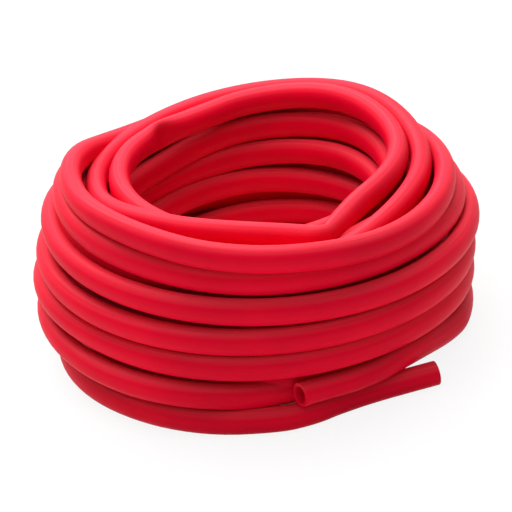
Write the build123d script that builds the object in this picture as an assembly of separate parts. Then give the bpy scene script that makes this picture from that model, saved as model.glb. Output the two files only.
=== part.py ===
from build123d import *
from math import cos, pi, radians, sin, tan
import os

# A loose coil of rubber vacuum tubing: one continuous tube with both ends free, on the near side.
# Millimetres, +Z up. The coil's axis is the Z axis, and the coil rests on Z = 0.
# Azimuth is counted round +Z from +X: 180 is the left, 270 the front, 360 the right, 450 the back.
# Columns are counted inwards from the outer wall, and levels upwards from the floor.

# The tubing itself
OUTER_DIAMETER = 10.0
BORE_DIAMETER = 7.0

# The coil
COIL_RADIUS = 86.0
COLUMN_PITCH = 9.0
LEVEL_PITCH = 11.9
OUTER_POINTS = 12
INNER_POINTS = 10

# Bending flattens the tube, so a turn stands taller than the free tube, with a hair's gap between levels.
# The inner wall, which is seen only through the coil's opening, has flats in place of a round section.
TURN_DIAMETER = 11.6
INNER_FLATS = 16

# The outer wall, wound from the top down, as places of (azimuth, column, level).
# It drops one level between the front and the right of each turn.
TOP_TURNS = [
    (120, 1.9, 5.8), (180, 1.3, 6.1), (280, 0.6, 6.0), (375, 0.7, 5.0),
    (540, 1.0, 5.0), (640, 0.8, 5.0), (735, 0.5, 4.0), (900, 0.3, 4.0),
]
WALL_TURNS = [
    (1000, 0.2, 4.0), (1095, -0.2, 3.0), (1260, 0.1, 3.0), (1360, 0.1, 3.0), (1455, 0.0, 2.0), (1620, -0.2, 2.0),
    (1720, 0.1, 2.0), (1815, 0.1, 1.0), (1980, -0.1, 1.0), (2040, 0.3, 1.0),
]
LAST_TURN = [(2100, 1.5, 0.8), (2160, 1.2, 0.0), (2250, 0.8, 0.0), (2340, 0.5, 0.0), (2430, 0.2, 0.0)]

# The turn that crosses the top on its way inwards, then the inner wall, which drops one level
# at the left of each turn and ends under the others
CROSSING_TURNS = [
    (324, 1.7, 5.1), (390, 1.6, 5.5), (450, 1.8, 5.9), (495, 1.8, 5.6), (540, 1.9, 5.1),
    (585, 2.1, 6.2), (630, 2.8, 6.1), (660, 2.4, 6.0), (720, 3.0, 6.0), (810, 3.1, 6.0),
]
INNER_WALL_COLUMN = 3.1
INNER_WALL_START = 870
INNER_WALL_DROP = 60
INNER_WALL_LEVELS = (6.0, 5.0, 4.0, 3.0, 2.0, 1.0)
INNER_WALL_END = [(3000, 3.1, 0.0), (3030, 2.6, 0.0), (3060, 1.8, 0.0)]

# The turn that ends as the upper free end: along the floor outside, then in under the others
FLOOR_TURN = [(-30, 0.75, 0.3), (0, 0.1, 0.05), (60, 0.1, 0.2), (90, 0.8, 0.9), (120, 1.6, 0.6)]

# Free ends, from the coil to the mouth: the upper one rests across the lower one
UPPER_END = [(55.5, -58.6, 14.6), (31.2, -76.3, 15.9), (10.7, -87.3, 17.8)]
LOWER_END = [(22.0, -77.6, 5.0), (44.0, -67.2, 5.0), (66.3, -61.0, 5.0)]
END_LEAD = 2.0
END_TAPER = 9.0
FILLET_SHARE = 0.45

# The bore goes straight in from each mouth, further than a barb reaches
BORE_DEPTH = 18.0

# The hidden middle of the coil is one core: a narrow foot under a wider body
FOOT_COLUMNS = (1.3, 3.0)
BODY_COLUMNS = (0.3, 3.0)
CORE_HEIGHTS = (4.0, 21.0, 64.0)


def turn_radius(column):
    """Distance of a column's centreline from the coil's axis."""
    return COIL_RADIUS - column * COLUMN_PITCH


def coil_point(azimuth, column, level):
    """A point of the centreline, from its azimuth, column and level."""
    angle = radians(azimuth)
    height = TURN_DIAMETER / 2 + level * LEVEL_PITCH
    return Vector(turn_radius(column) * cos(angle), turn_radius(column) * sin(angle), height)


def place(stations, azimuth):
    """The column and level at an azimuth, eased between the two stations beside it."""
    for before, after in zip(stations, stations[1:]):
        if azimuth <= after[0]:
            share = (1 - cos(pi * (azimuth - before[0]) / (after[0] - before[0]))) / 2
            return [start + share * (end - start) for start, end in zip(before[1:], after[1:])]
    return stations[-1][1:]


def coil_route(stations, points_per_turn):
    """Centreline points of a wound stretch, at even steps of azimuth."""
    step = 360 / points_per_turn
    first = stations[0][0]
    count = round((stations[-1][0] - first) / step)
    azimuths = [first + number * step for number in range(count + 1)]
    return [coil_point(azimuth, *place(stations, azimuth)) for azimuth in azimuths]


def inner_wall_stations():
    """Stations of the inner wall: level most of the way round, then down one level at the left."""
    stations = []
    for turn, level in enumerate(INNER_WALL_LEVELS):
        azimuth = INNER_WALL_START + 360 * turn
        stations.append((azimuth, INNER_WALL_COLUMN, level))
        stations.append((azimuth + INNER_WALL_DROP, INNER_WALL_COLUMN, level - 1))
    return stations


def wound_tube(points, outline):
    """A stretch of the wound tube with the given section, mitred from run to run."""
    path = Polyline(*points)
    section = Plane(origin=path @ 0, z_dir=path % 0) * outline
    return sweep(section, path=path, transition=Transition.RIGHT)


def fillet_radii(points):
    """The largest tangent arc that each corner's two runs have room for."""
    radii = []
    for before, corner, after in zip(points, points[1:], points[2:]):
        half_turn = radians((corner - before).get_angle(after - corner)) / 2
        shorter_run = min((corner - before).length, (after - corner).length)
        radii.append(FILLET_SHARE * shorter_run / tan(half_turn))
    return radii


def free_path(points):
    """Path of a free end: straight runs joined by tangent arcs."""
    return FilletPolyline(*points, radius=fillet_radii(points))


def free_tube(path):
    """The tube's outside along a free end."""
    return sweep(Plane(origin=path @ 0, z_dir=path % 0) * Circle(OUTER_DIAMETER / 2), path=path)


def mouth_bore(corner, mouth):
    """The bore, from a mouth back towards the corner before it."""
    return extrude(Plane(origin=mouth, z_dir=corner - mouth) * Circle(BORE_DIAMETER / 2), BORE_DEPTH)


def end_start(coil_end, corners):
    """Where a free end begins: a short way from the coil towards the first corner."""
    return coil_end + (corners[0] - coil_end).normalized() * END_LEAD


def end_taper(start, corner):
    """The short taper from the flattened turn to the round tube."""
    axis = Plane(origin=start, z_dir=corner - start)
    wide = axis * Circle(TURN_DIAMETER / 2)
    narrow = axis.offset(END_TAPER) * Circle(OUTER_DIAMETER / 2)
    return loft([wide, narrow])


def core_ring(columns, bottom, top):
    """A ring of the core, with one flat for each run of the turns outside and inside it."""
    outer = RegularPolygon(turn_radius(columns[0]), OUTER_POINTS, major_radius=True)
    inner = RegularPolygon(turn_radius(columns[1]), INNER_POINTS, major_radius=True)
    return extrude(Plane.XY.offset(bottom) * (outer - inner), top - bottom)


def make_tubing():
    """The whole coil as one solid, with a real bore in each free end."""
    outer_wall = coil_route(TOP_TURNS + WALL_TURNS + LAST_TURN, OUTER_POINTS)
    inner_wall = coil_route(CROSSING_TURNS + inner_wall_stations() + INNER_WALL_END, INNER_POINTS)
    floor_turn = coil_route(FLOOR_TURN, OUTER_POINTS)

    foot_bottom, body_bottom, body_top = CORE_HEIGHTS
    solid = core_ring(FOOT_COLUMNS, foot_bottom, body_bottom)
    solid += core_ring(BODY_COLUMNS, body_bottom, body_top)
    solid += wound_tube(inner_wall, RegularPolygon(TURN_DIAMETER / 2, INNER_FLATS))

    bores = []
    for route, coil_end, end in ((outer_wall, -1, LOWER_END), (floor_turn, 0, UPPER_END)):
        corners = [Vector(*point) for point in end]
        start = end_start(route[coil_end], corners)
        wound = [start] + route if coil_end == 0 else route + [start]
        points = [start] + corners
        print("free end radii:", [round(radius) for radius in fillet_radii(points)])
        solid += wound_tube(wound, Circle(TURN_DIAMETER / 2))
        solid += end_taper(start, corners[0])
        solid += free_tube(free_path(points))
        bores.append(mouth_bore(*corners[-2:]))
    for bore in bores:
        solid -= bore
    return solid


os.makedirs("parts", exist_ok=True)
tubing = make_tubing()
export_step(tubing, "parts/tubing.step")
print("volume", round(tubing.volume), "solids", len(tubing.solids()), "box", tubing.bounding_box())
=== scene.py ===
from math import cos, exp, pi, radians, sin

import bmesh
import bpy
from mathutils import Matrix, Vector


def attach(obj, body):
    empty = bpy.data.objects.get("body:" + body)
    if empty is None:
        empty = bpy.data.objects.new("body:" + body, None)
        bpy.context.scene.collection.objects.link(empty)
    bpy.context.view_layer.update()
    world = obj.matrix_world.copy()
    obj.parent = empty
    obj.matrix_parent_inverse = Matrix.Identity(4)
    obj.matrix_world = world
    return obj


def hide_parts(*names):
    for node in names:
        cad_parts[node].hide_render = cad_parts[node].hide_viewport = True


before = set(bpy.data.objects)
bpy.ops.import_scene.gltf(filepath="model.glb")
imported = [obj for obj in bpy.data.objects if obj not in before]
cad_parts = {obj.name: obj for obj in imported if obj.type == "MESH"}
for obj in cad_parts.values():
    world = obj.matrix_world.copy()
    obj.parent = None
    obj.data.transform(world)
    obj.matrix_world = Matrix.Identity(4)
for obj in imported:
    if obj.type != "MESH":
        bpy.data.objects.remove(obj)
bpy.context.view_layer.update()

bl_info = {
    "name": "Coil of rubber tubing",
    "version": (1, 0, 0),
    "blender": (4, 5, 0),
    "location": "3D View > Sidebar > Tubing",
    "description": "Winds a loose coil of red rubber tubing and sets it on a studio floor",
    "category": "Add Mesh",
}

# The winding, as places of (azimuth in degrees, column, level).
# Azimuth goes on counting from turn to turn: 0 is the right, 90 the back, 180 the left, 270 the front.
# Columns are counted inwards from the outer wall, and levels upwards from the floor.
# Most places of the turns that show are the output of a separate fitting program, rounded to 0.05.
# The others were set by hand. report.md counts both kinds, and says which rule the fitted ones break.

# From the upper free end: once round on the floor, then up the middle
FLOOR_TURNS = [
    (15, 0.1, 0), (45, 0, 0.1), (90, 0.8, 0.95), (135, 1.7, 0.4),
    (180, 1.8, 0.1), (270, 1.9, 0.15), (360, 2, 0.1), (450, 1.7, 0.6),
]
# The hidden turns rise a level each, so one turn of a column stands for the rest: (azimuth, column, rise)
MIDDLE_TURN = [(180, 1.2, 0), (270, 1.1, 0), (360, 1.15, 0), (450, 1.15, 0.2)]
MIDDLE_COLUMN_UP = [
    (360 * level + azimuth, column, level + rise)
    for level in (1, 2, 3, 4) for azimuth, column, rise in MIDDLE_TURN
]

# The loose turns across the top, with a kink at the front right and another at the back left
CROSSING_TURNS = [
    (1980, 1.2, 4.95), (2025, 1.25, 4.9), (2070, 1.3, 4.9), (2092, 1.35, 4.9), (2110, 1.55, 5.2),
    (2130, 1.8, 5.25), (2151, 1.65, 5.4), (2160, 1.6, 5.5), (2205, 1.75, 6.2), (2250, 2.2, 6.05),
    (2295, 2.5, 5.8), (2317, 2.45, 5.7), (2340, 2.7, 5.65), (2365, 2.8, 5.9), (2385, 3, 6),
    (2405, 3.15, 5.9), (2420, 3.2, 5.8), (2434, 3, 5.65), (2445, 2.65, 5.5), (2454, 2.05, 5.4),
    (2464, 3, 5.6), (2480, 3.1, 5.65), (2498, 2.85, 5.75), (2520, 2.6, 5.9), (2565, 2.85, 6.4),
    (2610, 3.1, 6.1), (2633, 3.6, 5.95), (2650, 3.65, 5.95), (2671, 3.7, 6),
]

# Down the inner wall
INNER_WALL = [
    (2700, 3.8, 5.95), (2745, 3.85, 5.65), (2790, 3.8, 5), (2835, 3.65, 4.9),
    (2880, 3, 4.85), (2925, 2.7, 5.15), (2970, 2.85, 5), (3015, 2.9, 4.4),
    (3060, 3.05, 4.45), (3105, 3.05, 4.35), (3150, 3.1, 4.25), (3195, 3.2, 3.95),
    (3240, 3.25, 3.85), (3285, 3.15, 4.2), (3330, 3, 4.05), (3375, 2.55, 3.5),
    (3420, 3.1, 3.45), (3465, 3, 3.35), (3510, 3.05, 3.2), (3555, 3.1, 2.95),
    (3600, 3.1, 2.8), (3645, 3.1, 2.9), (3690, 3.1, 3.05), (3735, 3.1, 2.85),
    (3780, 3.3, 2.4), (3825, 3.2, 2.35), (3870, 3.15, 2.2), (3915, 3.1, 1.9),
    (3960, 3.1, 1.7), (4005, 3, 1.7), (4050, 3.05, 1.7), (4095, 3.1, 1.5),
    (4140, 3.05, 1.4), (4185, 3.15, 1.3), (4230, 3.25, 1.2), (4275, 3.4, 0.95),
    (4320, 3.6, 0.8), (4365, 3.65, 0.8), (4410, 3.55, 0.75), (4455, 3.25, 0.5),
    (4500, 2.8, 0.4), (4590, 2.9, 0), (4680, 3, 0), (4770, 2.6, 0.5),
]

# Up the hidden inner column, where the last turn rises under the loose ones
INNER_TURN = [(4500, 2.1, 0), (4590, 2.1, 0), (4680, 2.1, 0), (4770, 2.1, 0.2)]
INNER_COLUMN_UP = [
    (360 * level + azimuth, column, level + rise)
    for level in (1, 2, 3) for azimuth, column, rise in INNER_TURN
] + [
    (5940, 2.1, 4), (6030, 2.1, 4), (6120, 2.1, 4), (6210, 2.05, 4.7),
    (6255, 1.95, 5.25), (6300, 1.95, 5.3), (6345, 2.1, 5.05), (6390, 2.1, 5),
    (6480, 1.9, 4.9), (6525, 1.85, 5.3), (6570, 1.75, 5.45), (6615, 2, 5.7),
]

# Down the outer wall, a level lower at the right of each turn, to the lower free end
OUTER_WALL = [
    (6660, 1.7, 6.65), (6705, 1, 6.6), (6750, 0.05, 5.95), (6795, 0.25, 5.2),
    (6840, 0.65, 5.1), (6885, 0.85, 5), (6930, 0.75, 5.1), (6975, 0.85, 5.2),
    (7020, 1.2, 5.9), (7065, 0.85, 5.65), (7110, 0.45, 5), (7155, 0.45, 4.5),
    (7200, 0.2, 4.2), (7245, 0.15, 4.15), (7290, 0.15, 4.2), (7335, 0.05, 4.4),
    (7380, 0.45, 4.9), (7425, 0.35, 4.55), (7470, 0.05, 4.05), (7515, -0.15, 3.6),
    (7560, -0.35, 3.4), (7605, -0.5, 3.3), (7650, -0.35, 3.2), (7695, -0.3, 3.35),
    (7740, -0.05, 3.6), (7785, 0.15, 3.35), (7830, 0, 3), (7875, 0.05, 2.6),
    (7920, -0.05, 2.3), (7965, -0.2, 2.2), (8010, -0.25, 2.2), (8055, -0.35, 2.3),
    (8100, -0.4, 2.7), (8145, 0.25, 2.3), (8190, 0.05, 2.05), (8235, 0.25, 1.7),
    (8280, 0.1, 1.35), (8325, -0.25, 1.2), (8370, -0.6, 1.2), (8415, -0.65, 1.2),
    (8460, -0.45, 1.45), (8505, 0.05, 1.15), (8530, 0.1, 1.05), (8545, 0.65, 0.8),
    (8556, 1.15, 0.6), (8570, 1.4, 0.55), (8585, 1.5, 0.4), (8610, 1.4, 0.2),
    (8640, 1.05, 0), (8685, 1, 0), (8730, 0.8, 0), (8775, 0.55, 0),
    (8820, 0.25, 0), (8865, 0.45, 0), (8895, 0.25, 0),
]
WINDING = FLOOR_TURNS + MIDDLE_COLUMN_UP + CROSSING_TURNS + INNER_WALL + INNER_COLUMN_UP + OUTER_WALL

# The free ends' centrelines in metres, each in the tube's own order from the upper mouth to the lower one.
# They were picked by eye in the photograph and turned into metres by a separate script.
UPPER_END = [
    (0.0092, -0.0870, 0.0166), (0.0140, -0.0841, 0.0160), (0.0190, -0.0823, 0.0158),
    (0.0257, -0.0802, 0.0156), (0.0340, -0.0770, 0.0155), (0.0425, -0.0721, 0.0153),
    (0.0514, -0.0642, 0.0149), (0.0605, -0.0534, 0.0128), (0.0653, -0.0469, 0.0112),
    (0.0701, -0.0403, 0.0096), (0.0750, -0.0329, 0.0082), (0.0803, -0.0237, 0.0072),
    (0.0850, -0.0010, 0.0062),
]
LOWER_END = [
    (0.0003, -0.0849, 0.0055), (0.0084, -0.0833, 0.0052), (0.0166, -0.0804, 0.0050),
    (0.0208, -0.0780, 0.0050), (0.0250, -0.0762, 0.0050), (0.0333, -0.0728, 0.0050),
    (0.0416, -0.0701, 0.0050), (0.0500, -0.0677, 0.0050), (0.0583, -0.0655, 0.0050),
    (0.0655, -0.0636, 0.0050),
]

# Control points for each turn, and the share of their radius at which a spline of order 3 runs
POINTS_PER_TURN = 24
SPLINE_INSET = 0.9914

# Kinks: azimuth, how far they reach along the tube in metres, and how deep they pinch
KINKS = [(2454, 0.006, 0.24), (2650, 0.007, 0.36)]
# The route's control points come this close to each kink, in degrees, so that it bends sharply there
KINK_STEPS = (-4, -1, 0, 1, 4)
# Faint creases: azimuth, reach and depth
CREASES = [(7141, 0.004, 0.035), (7503, 0.004, 0.035), (7861, 0.004, 0.03)]

ROUND_SEGMENTS = 36
SEAM_GAP = 1e-7
# Bending flattens the tube from this far along each free end, over about this length
FLATTENED_FROM = 0.075
FLATTENED_OVER = 0.014
# How far a fully pinched side is pushed in, and the share of a pinch that makes the tube taller
DENT_DEPTH = 0.004
PINCH_HEIGHT = 0.4
# The cut ends: how far the bore is modelled, the softened edge of the cut, and the middle of its rounding
BORE_DEPTH = 0.07
EDGE_RADIUS = 0.0003
EDGE_MIDDLE = 0.3

# The camera's angles, its scale and the height of its aim come from the same fit as the winding.
# So do the coil's radius and level pitch in the settings below.
CAMERA_ELEVATION = 27.05
CAMERA_ROLL = 7.48
CAMERA_DISTANCE = 1.1
PIXELS_PER_METRE = 2383
IMAGE_SIZE = 512
SENSOR_WIDTH = 36
# The middle of the coil's height, and the pixel where the photograph has it
AIM_HEIGHT = 0.038
AIM_PIXEL = (257.0, 250.8)

# The rubber: noise scales per metre, and the middle part of the noise that is spread over each range
TONE_SCALE = (22, 22, 22)
STREAK_SCALE = (14, 900, 1)
SKIN_SCALE = (1800, 1800, 1)
SKIN_DETAIL = 2
NOISE_SPAN = (0.3, 0.7)
TONE_RANGE = (0.88, 1.06)
ROUGHNESS_RANGE = (0.4, 0.5)
SPECULAR_LEVEL = 0.05
SKIN_STRENGTH = 0.25
SKIN_HEIGHT = 0.0001
# A pale highlight painted along the tops of the tube in place of the top light's sheen, how strongly it is
# painted, and how high up the tube's side it starts: 0 is half way, 1 is the top
PAINTED_HIGHLIGHT_COLOUR = (1, 0.42, 0.48)
PAINTED_HIGHLIGHT_RANGE = (0.03, 0.09)
PAINTED_HIGHLIGHT_FROM = 0.4

# The studio, in metres
FLOOR_SIZE = 8
FLOOR_ROUGHNESS = 0.9
FLOOR_WHITENESS = 0.88
TOP_LIGHT = (-0.1, 0.3, 0.8)
TOP_LIGHT_SIZE = 0.9
FRONT_LIGHT = (-0.2, -0.6, 0.95)
FRONT_LIGHT_SIZE = 0.7


class TubingSettings(bpy.types.PropertyGroup):
    """Sizes and colour of the tubing."""
    outer_diameter: bpy.props.FloatProperty(
        name="Outer diameter", description="Outside diameter of the free tube", default=0.010, unit="LENGTH")
    wall: bpy.props.FloatProperty(
        name="Wall", description="Thickness of the rubber", default=0.0015, unit="LENGTH")
    turn_width: bpy.props.FloatProperty(
        name="Turn width", description="Width of the bent tube across the coil", default=0.0090,
        unit="LENGTH")
    turn_height: bpy.props.FloatProperty(
        name="Turn height", description="Height of the bent tube", default=0.0114, unit="LENGTH")
    floor_level: bpy.props.FloatProperty(
        name="Floor level", description="Centreline height of the lowest turns", default=0.0058,
        unit="LENGTH")
    coil_radius: bpy.props.FloatProperty(
        name="Coil radius", description="Centreline radius of the outer wall", default=0.0867, unit="LENGTH")
    column_pitch: bpy.props.FloatProperty(
        name="Column pitch", description="Distance from one turn to the next one inwards", default=0.0090,
        unit="LENGTH")
    level_pitch: bpy.props.FloatProperty(
        name="Level pitch", description="Distance from one turn to the next one up", default=0.01213,
        unit="LENGTH")
    colour: bpy.props.FloatVectorProperty(
        name="Colour", description="Colour of the rubber", subtype="COLOR", size=3, min=0, max=1,
        default=(0.7, 0.001, 0.022))


class StudioSettings(bpy.types.PropertyGroup):
    """The floor and lights."""
    floor_colour: bpy.props.FloatVectorProperty(
        name="Floor colour", description="Colour of the floor", subtype="COLOR", size=3, min=0, max=1,
        default=(0.86, 0.86, 0.86))
    top_power: bpy.props.FloatProperty(
        name="Top light", description="Power of the softbox over the coil", default=17.0, unit="POWER")
    front_power: bpy.props.FloatProperty(
        name="Front light", description="Power of the softbox at the front", default=2.4, unit="POWER")
    surround: bpy.props.FloatProperty(
        name="Surround", description="Strength of the light from all round", default=0.28, min=0)


def place(stations, azimuth):
    """The column and level at an azimuth, on a smooth line through the stations."""
    after = next(number for number, station in enumerate(stations) if station[0] >= azimuth)
    after = max(after, 1)
    nearby = [stations[max(0, min(len(stations) - 1, after + step))] for step in (-2, -1, 0, 1)]
    (start, end) = nearby[1:3]
    span = end[0] - start[0]
    share = (azimuth - start[0]) / span
    values = []
    for axis in (1, 2):
        slopes = []
        for before, here, beyond in (nearby[:3], nearby[1:]):
            left = here[0] - before[0]
            right = beyond[0] - here[0]
            if left == 0 or right == 0:
                slopes.append((end[axis] - start[axis]) / span)
            else:
                rise = (here[axis] - before[axis]) / left
                fall = (beyond[axis] - here[axis]) / right
                slopes.append(0 if rise * fall <= 0 else 2 * rise * fall / (rise + fall))
        ease = share * share * (3 - 2 * share)
        values.append(
            start[axis] * (1 - ease) + end[axis] * ease
            + slopes[0] * span * share * (1 - share) ** 2 - slopes[1] * span * share ** 2 * (1 - share))
    return values


def coil_point(sizes, azimuth):
    """A control point of the wound part."""
    column, level = place(WINDING, azimuth)
    radius = (sizes.coil_radius - column * sizes.column_pitch) / SPLINE_INSET
    angle = radians(azimuth)
    return Vector((radius * cos(angle), radius * sin(angle), sizes.floor_level + level * sizes.level_pitch))


def control_points(sizes):
    """The route from the upper mouth, through the winding, to the lower mouth."""
    step = 360 // POINTS_PER_TURN
    azimuths = set(range(WINDING[0][0], WINDING[-1][0] + 1, step))
    for kink in KINKS:
        azimuths = {azimuth for azimuth in azimuths if abs(azimuth - kink[0]) > step / 2}
        azimuths |= {kink[0] + away for away in KINK_STEPS}
    wound = [coil_point(sizes, azimuth) for azimuth in sorted(azimuths)]
    return [Vector(point) for point in UPPER_END] + wound + [Vector(point) for point in LOWER_END]


def smooth_route(points):
    """Points along one smooth NURBS spline with the given control points."""
    curve = bpy.data.curves.new("tubing_route", "CURVE")
    curve.dimensions = "3D"
    curve.resolution_u = 4
    spline = curve.splines.new("NURBS")
    spline.points.add(len(points) - 1)
    for spline_point, point in zip(spline.points, points):
        spline_point.co = (*point, 1)
    spline.order_u = 3
    spline.use_endpoint_u = True
    route = bpy.data.objects.new("tubing_route", curve)
    bpy.context.scene.collection.objects.link(route)
    bpy.context.view_layer.update()
    line = bpy.data.meshes.new_from_object(route.evaluated_get(bpy.context.evaluated_depsgraph_get()))
    path = [vertex.co.copy() for vertex in line.vertices]
    bpy.data.meshes.remove(line)
    bpy.data.objects.remove(route)
    bpy.data.curves.remove(curve)
    return path


def distances_along(path):
    """How far along the path each of its points is."""
    distances = [0.0]
    for before, after in zip(path, path[1:]):
        distances.append(distances[-1] + (after - before).length)
    return distances


def kink_places(sizes, path, distances, kinks):
    """Where the kinks are along the path, with the reach and depth of each."""
    found = []
    for azimuth, reach, depth in kinks:
        goal = coil_point(sizes, azimuth)
        nearest = min(range(len(path)), key=lambda number: (path[number] - goal).length)
        found.append((distances[nearest], reach, depth))
    return found


def bell(distance, reach):
    """1 at no distance, falling smoothly to 0 past the reach."""
    return exp(-(distance / reach) ** 2)


class Section:
    """The tube's section at a point of the path, with its sideways and upward directions."""

    def __init__(self, sizes, path, distances, number, kinks):
        before = path[max(number - 1, 0)]
        after = path[min(number + 1, len(path) - 1)]
        self.centre = path[number]
        self.along = (after - before).normalized()
        self.side = self.along.cross(Vector((0, 0, 1))).normalized()
        self.up = self.side.cross(self.along)
        self.distance = distances[number]
        from_end = min(self.distance, distances[-1] - self.distance)
        flat = 1 / (1 + exp((FLATTENED_FROM - from_end) / FLATTENED_OVER))
        free = sizes.outer_diameter / 2
        self.half_width = free + flat * (sizes.turn_width / 2 - free)
        self.half_height = free + flat * (sizes.turn_height / 2 - free)
        self.dent = 0
        for kink_at, reach, depth in kinks:
            near = bell(self.distance - kink_at, reach)
            self.half_width *= 1 - depth * near
            self.half_height *= 1 + PINCH_HEIGHT * depth * near
            self.dent += depth * near * DENT_DEPTH

    def point(self, turn, inset, shift):
        """A point at a share of a turn round, an inset in from the surface and a shift along the tube."""
        if inset is None:
            return self.centre
        across, high = cos(2 * pi * turn), sin(2 * pi * turn)
        width, height = self.half_width - inset, self.half_height - inset
        sideways = width * across + max(0, -across) ** 3 * self.dent
        return self.centre + self.side * sideways + self.up * height * high + self.along * shift


def cut_end(number, wall, inwards):
    """Rows round a cut end from the bore to the outside: (path point, inset, shift)."""
    edge = EDGE_RADIUS * inwards
    corner = EDGE_MIDDLE * EDGE_RADIUS
    return [
        (number, wall, edge), (number, wall - corner, EDGE_MIDDLE * edge), (number, wall - EDGE_RADIUS, 0),
        (number, EDGE_RADIUS, 0), (number, corner, EDGE_MIDDLE * edge), (number, 0, edge),
    ]


def tube_rows(sizes, distances):
    """Rows from deep in one bore, over the outside, to deep in the other: (path point, inset, shift)."""
    last = len(distances) - 1
    length = distances[last]
    numbers = range(1, last)
    bore = [(number, sizes.wall, 0) for number in numbers if distances[number] < BORE_DEPTH]
    far_bore = [(number, sizes.wall, 0) for number in numbers if length - distances[number] < BORE_DEPTH]
    rows = [(bore[-1][0], None, 0)] + bore[::-1] + cut_end(0, sizes.wall, 1)
    rows += [(number, 0, 0) for number in numbers]
    rows += cut_end(last, sizes.wall, -1)[::-1] + far_bore[::-1] + [(far_bore[0][0], None, 0)]
    return rows


def tube_mesh(name, sizes, path):
    """The tube with its wall, open bores and softly cut ends, following the path."""
    distances = distances_along(path)
    kinks = kink_places(sizes, path, distances, KINKS + CREASES)
    sections = [Section(sizes, path, distances, number, kinks) for number in range(len(path))]
    rows = tube_rows(sizes, distances)
    bm = bmesh.new()
    bmesh.ops.create_grid(bm, x_segments=ROUND_SEGMENTS, y_segments=len(rows) - 1, size=1)
    bm.verts.index_update()
    uv_layer = bm.loops.layers.uv.new("along_and_round")
    girth = pi * sizes.outer_diameter
    for face in bm.faces:
        face.smooth = True
        for loop in face.loops:
            row, column = divmod(loop.vert.index, ROUND_SEGMENTS + 1)
            loop[uv_layer].uv = (distances[rows[row][0]], girth * column / ROUND_SEGMENTS)
    for vertex in bm.verts:
        row, column = divmod(vertex.index, ROUND_SEGMENTS + 1)
        number, inset, shift = rows[row]
        vertex.co = sections[number].point(column / ROUND_SEGMENTS, inset, shift)
    bmesh.ops.remove_doubles(bm, verts=bm.verts, dist=SEAM_GAP)
    bmesh.ops.recalc_face_normals(bm, faces=bm.faces)
    mesh = bpy.data.meshes.new(name)
    bm.to_mesh(mesh)
    bm.free()
    return mesh


def noise(tree, coordinates, scale, detail=3):
    """Noise over the given coordinates, scaled by three factors, which are per metre."""
    mapping = tree.nodes.new("ShaderNodeMapping")
    mapping.inputs["Scale"].default_value = scale
    texture = tree.nodes.new("ShaderNodeTexNoise")
    texture.inputs["Scale"].default_value = 1
    texture.inputs["Detail"].default_value = detail
    tree.links.new(coordinates, mapping.inputs["Vector"])
    tree.links.new(mapping.outputs["Vector"], texture.inputs["Vector"])
    return texture.outputs["Fac"]


def ranged(tree, value, low, high):
    """A noise value spread over a range."""
    node = tree.nodes.new("ShaderNodeMapRange")
    node.inputs["From Min"].default_value = NOISE_SPAN[0]
    node.inputs["From Max"].default_value = NOISE_SPAN[1]
    node.inputs["To Min"].default_value = low
    node.inputs["To Max"].default_value = high
    tree.links.new(value, node.inputs["Value"])
    return node.outputs["Result"]


def painted_highlight_mask(tree, coordinates, girth):
    """1 along the top of the tube, where a pale highlight is painted, falling to 0 down its sides."""
    parts = tree.nodes.new("ShaderNodeSeparateXYZ")
    angle = tree.nodes.new("ShaderNodeMath")
    angle.operation = "MULTIPLY"
    angle.inputs[1].default_value = 2 * pi / girth
    height = tree.nodes.new("ShaderNodeMath")
    height.operation = "SINE"
    spread = tree.nodes.new("ShaderNodeMapRange")
    spread.interpolation_type = "SMOOTHSTEP"
    spread.inputs["From Min"].default_value = PAINTED_HIGHLIGHT_FROM
    tree.links.new(coordinates, parts.inputs["Vector"])
    tree.links.new(parts.outputs["Y"], angle.inputs[0])
    tree.links.new(angle.outputs["Value"], height.inputs[0])
    tree.links.new(height.outputs["Value"], spread.inputs["Value"])
    return spread.outputs["Result"]


def rubber_material(colour, girth):
    """Satin red rubber: faint streaks along the tube, slow changes of tone, a painted pale highlight along
    the tops and a fine skin.
    """
    material = bpy.data.materials.new("red_rubber")
    material.use_nodes = True
    tree = material.node_tree
    shader = tree.nodes["Principled BSDF"]
    where = tree.nodes.new("ShaderNodeTexCoord")
    tone = noise(tree, where.outputs["Object"], TONE_SCALE)
    streaks = noise(tree, where.outputs["UV"], STREAK_SCALE)
    skin = noise(tree, where.outputs["UV"], SKIN_SCALE, detail=SKIN_DETAIL)

    darkest, lightest = TONE_RANGE
    toned = tree.nodes.new("ShaderNodeMix")
    toned.data_type = "RGBA"
    toned.inputs["A"].default_value = (*(darkest * part for part in colour), 1)
    toned.inputs["B"].default_value = (*(min(1, lightest * part) for part in colour), 1)
    tree.links.new(ranged(tree, tone, 0, 1), toned.inputs["Factor"])
    # Painted highlight: the tops of the tube are mixed towards a pale pink, standing in for the top light's
    # sheen
    painted_highlight = tree.nodes.new("ShaderNodeMix")
    painted_highlight.data_type = "RGBA"
    painted_highlight.inputs["B"].default_value = (*PAINTED_HIGHLIGHT_COLOUR, 1)
    tree.links.new(toned.outputs["Result"], painted_highlight.inputs["A"])
    painted_highlight_share = tree.nodes.new("ShaderNodeMath")
    painted_highlight_share.operation = "MULTIPLY"
    tree.links.new(painted_highlight_mask(tree, where.outputs["UV"], girth), painted_highlight_share.inputs[0])
    tree.links.new(ranged(tree, streaks, *PAINTED_HIGHLIGHT_RANGE), painted_highlight_share.inputs[1])
    tree.links.new(painted_highlight_share.outputs["Value"], painted_highlight.inputs["Factor"])
    tree.links.new(painted_highlight.outputs["Result"], shader.inputs["Base Color"])

    tree.links.new(ranged(tree, streaks, *ROUGHNESS_RANGE), shader.inputs["Roughness"])
    shader.inputs["Specular IOR Level"].default_value = SPECULAR_LEVEL

    bump = tree.nodes.new("ShaderNodeBump")
    bump.inputs["Strength"].default_value = SKIN_STRENGTH
    bump.inputs["Distance"].default_value = SKIN_HEIGHT
    tree.links.new(skin, bump.inputs["Height"])
    tree.links.new(bump.outputs["Normal"], shader.inputs["Normal"])
    return material


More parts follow.
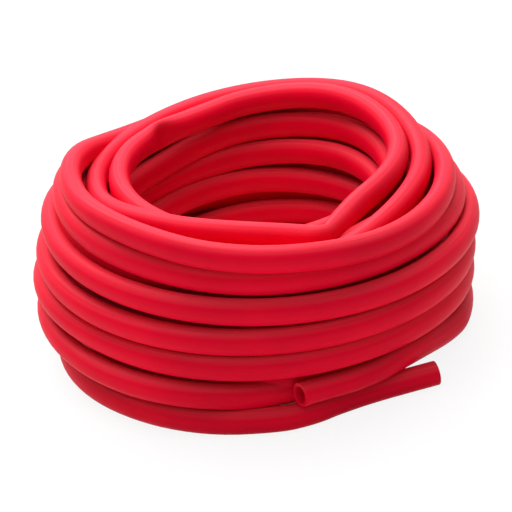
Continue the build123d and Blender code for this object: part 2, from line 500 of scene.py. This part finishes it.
class TUBING_OT_coil(bpy.types.Operator):
    """Winds the whole tube, from the upper mouth to the lower one"""
    bl_idname = "tubing.coil"
    bl_label = "Coil of tubing"
    bl_options = {"REGISTER", "UNDO"}

    def execute(self, context):
        sizes = context.scene.tubing_sizes
        path = smooth_route(control_points(sizes))
        if len(path) < len(WINDING):
            raise RuntimeError("The tube's route has too few points")
        tube = bpy.data.objects.new("coiled_tube", tube_mesh("coiled_tube", sizes, path))
        context.scene.collection.objects.link(tube)
        tube.data.materials.append(rubber_material(sizes.colour, pi * sizes.outer_diameter))
        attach(tube, "root")
        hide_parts("tubing")
        return {"FINISHED"}


def camera_axes():
    """The camera's right, up and backward directions, tilted as the photograph is."""
    elevation, roll = radians(CAMERA_ELEVATION), radians(CAMERA_ROLL)
    level = Vector((1, 0, 0))
    upright = Vector((0, sin(elevation), cos(elevation)))
    right = level * cos(roll) - upright * sin(roll)
    up = level * sin(roll) + upright * cos(roll)
    return right, up, right.cross(up)


def add_camera(scene):
    """The camera at the photograph's viewing angle."""
    right, up, backward = camera_axes()
    across = (AIM_PIXEL[0] - IMAGE_SIZE / 2) / PIXELS_PER_METRE
    down = (AIM_PIXEL[1] - IMAGE_SIZE / 2) / PIXELS_PER_METRE
    aim = Vector((0, 0, AIM_HEIGHT)) - right * across + up * down
    camera = bpy.data.objects.new("camera", bpy.data.cameras.new("camera"))
    camera.data.sensor_width = SENSOR_WIDTH
    camera.data.lens = SENSOR_WIDTH * PIXELS_PER_METRE * CAMERA_DISTANCE / IMAGE_SIZE
    camera.matrix_world = Matrix.Translation(aim + backward * CAMERA_DISTANCE) @ Matrix(
        (right, up, backward)).transposed().to_4x4()
    scene.collection.objects.link(camera)
    scene.camera = camera


def softbox(scene, name, position, size, power):
    """A square softbox at a position, facing the coil."""
    light = bpy.data.lights.new(name, "AREA")
    light.size = size
    light.energy = power
    lamp = bpy.data.objects.new(name, light)
    lamp.location = position
    towards = Vector((0, 0, AIM_HEIGHT)) - Vector(position)
    lamp.rotation_euler = towards.to_track_quat("-Z", "Y").to_euler()
    scene.collection.objects.link(lamp)


def seen_directly(tree):
    """1 for what the camera sees directly, in a reflection or through glass."""
    paths = tree.nodes.new("ShaderNodeLightPath")
    total = paths.outputs["Is Camera Ray"]
    for name in ("Is Glossy Ray", "Is Transmission Ray"):
        either = tree.nodes.new("ShaderNodeMath")
        either.operation = "MAXIMUM"
        tree.links.new(total, either.inputs[0])
        tree.links.new(paths.outputs[name], either.inputs[1])
        total = either.outputs["Value"]
    return total


def floor_material(colour):
    """A pale floor that reads as white but keeps the coil's soft shadow."""
    material = bpy.data.materials.new("pale_floor")
    material.use_nodes = True
    tree = material.node_tree
    shader = tree.nodes["Principled BSDF"]
    shader.inputs["Base Color"].default_value = (*colour, 1)
    shader.inputs["Roughness"].default_value = FLOOR_ROUGHNESS
    shader.inputs["Specular IOR Level"].default_value = 0
    white = tree.nodes.new("ShaderNodeEmission")
    share = tree.nodes.new("ShaderNodeMath")
    share.operation = "MULTIPLY"
    share.inputs[1].default_value = FLOOR_WHITENESS
    mix = tree.nodes.new("ShaderNodeMixShader")
    tree.links.new(seen_directly(tree), share.inputs[0])
    tree.links.new(share.outputs["Value"], mix.inputs["Fac"])
    tree.links.new(shader.outputs["BSDF"], mix.inputs[1])
    tree.links.new(white.outputs["Emission"], mix.inputs[2])
    tree.links.new(mix.outputs["Shader"], tree.nodes["Material Output"].inputs["Surface"])
    return material


def add_world(scene, strength):
    """Even light from all round, white behind the coil."""
    world = bpy.data.worlds.new("studio")
    world.use_nodes = True
    tree = world.node_tree
    background = tree.nodes["Background"]
    background.inputs["Color"].default_value = (1, 1, 1, 1)
    level = tree.nodes.new("ShaderNodeMapRange")
    level.inputs["To Min"].default_value = strength
    level.inputs["To Max"].default_value = 1
    tree.links.new(seen_directly(tree), level.inputs["Value"])
    tree.links.new(level.outputs["Result"], background.inputs["Strength"])
    scene.world = world


class TUBING_OT_stage(bpy.types.Operator):
    """Adds the floor, the lights and the camera"""
    bl_idname = "tubing.stage"
    bl_label = "Studio"
    bl_options = {"REGISTER", "UNDO"}

    def execute(self, context):
        scene = context.scene
        studio = scene.tubing_studio
        if scene.world is not None and scene.world.name == "studio":
            raise RuntimeError("The studio is already there")
        bm = bmesh.new()
        bmesh.ops.create_grid(bm, x_segments=1, y_segments=1, size=FLOOR_SIZE / 2)
        mesh = bpy.data.meshes.new("floor")
        bm.to_mesh(mesh)
        bm.free()
        floor = bpy.data.objects.new("floor", mesh)
        mesh.materials.append(floor_material(studio.floor_colour))
        scene.collection.objects.link(floor)
        softbox(scene, "top_softbox", TOP_LIGHT, TOP_LIGHT_SIZE, studio.top_power)
        softbox(scene, "front_softbox", FRONT_LIGHT, FRONT_LIGHT_SIZE, studio.front_power)
        add_world(scene, studio.surround)
        add_camera(scene)
        scene.view_settings.view_transform = "Standard"
        return {"FINISHED"}


class TUBING_PT_panel(bpy.types.Panel):
    """Lists the tubing's sizes and its operators"""
    bl_idname = "TUBING_PT_panel"
    bl_label = "Coil of tubing"
    bl_space_type = "VIEW_3D"
    bl_region_type = "UI"
    bl_category = "Tubing"

    def draw(self, context):
        for settings in (context.scene.tubing_sizes, context.scene.tubing_studio):
            for name in settings.__annotations__:
                self.layout.prop(settings, name)
        for operator in (TUBING_OT_coil, TUBING_OT_stage):
            self.layout.operator(operator.bl_idname)


CLASSES = (TubingSettings, StudioSettings, TUBING_OT_coil, TUBING_OT_stage, TUBING_PT_panel)


def register():
    for each in CLASSES:
        bpy.utils.register_class(each)
    bpy.types.Scene.tubing_sizes = bpy.props.PointerProperty(type=TubingSettings)
    bpy.types.Scene.tubing_studio = bpy.props.PointerProperty(type=StudioSettings)


def unregister():
    del bpy.types.Scene.tubing_studio
    del bpy.types.Scene.tubing_sizes
    for each in reversed(CLASSES):
        bpy.utils.unregister_class(each)


def main():
    register()
    bpy.ops.tubing.coil()
    bpy.ops.tubing.stage()
    bpy.context.view_layer.update()


if __name__ == "__main__":
    main()
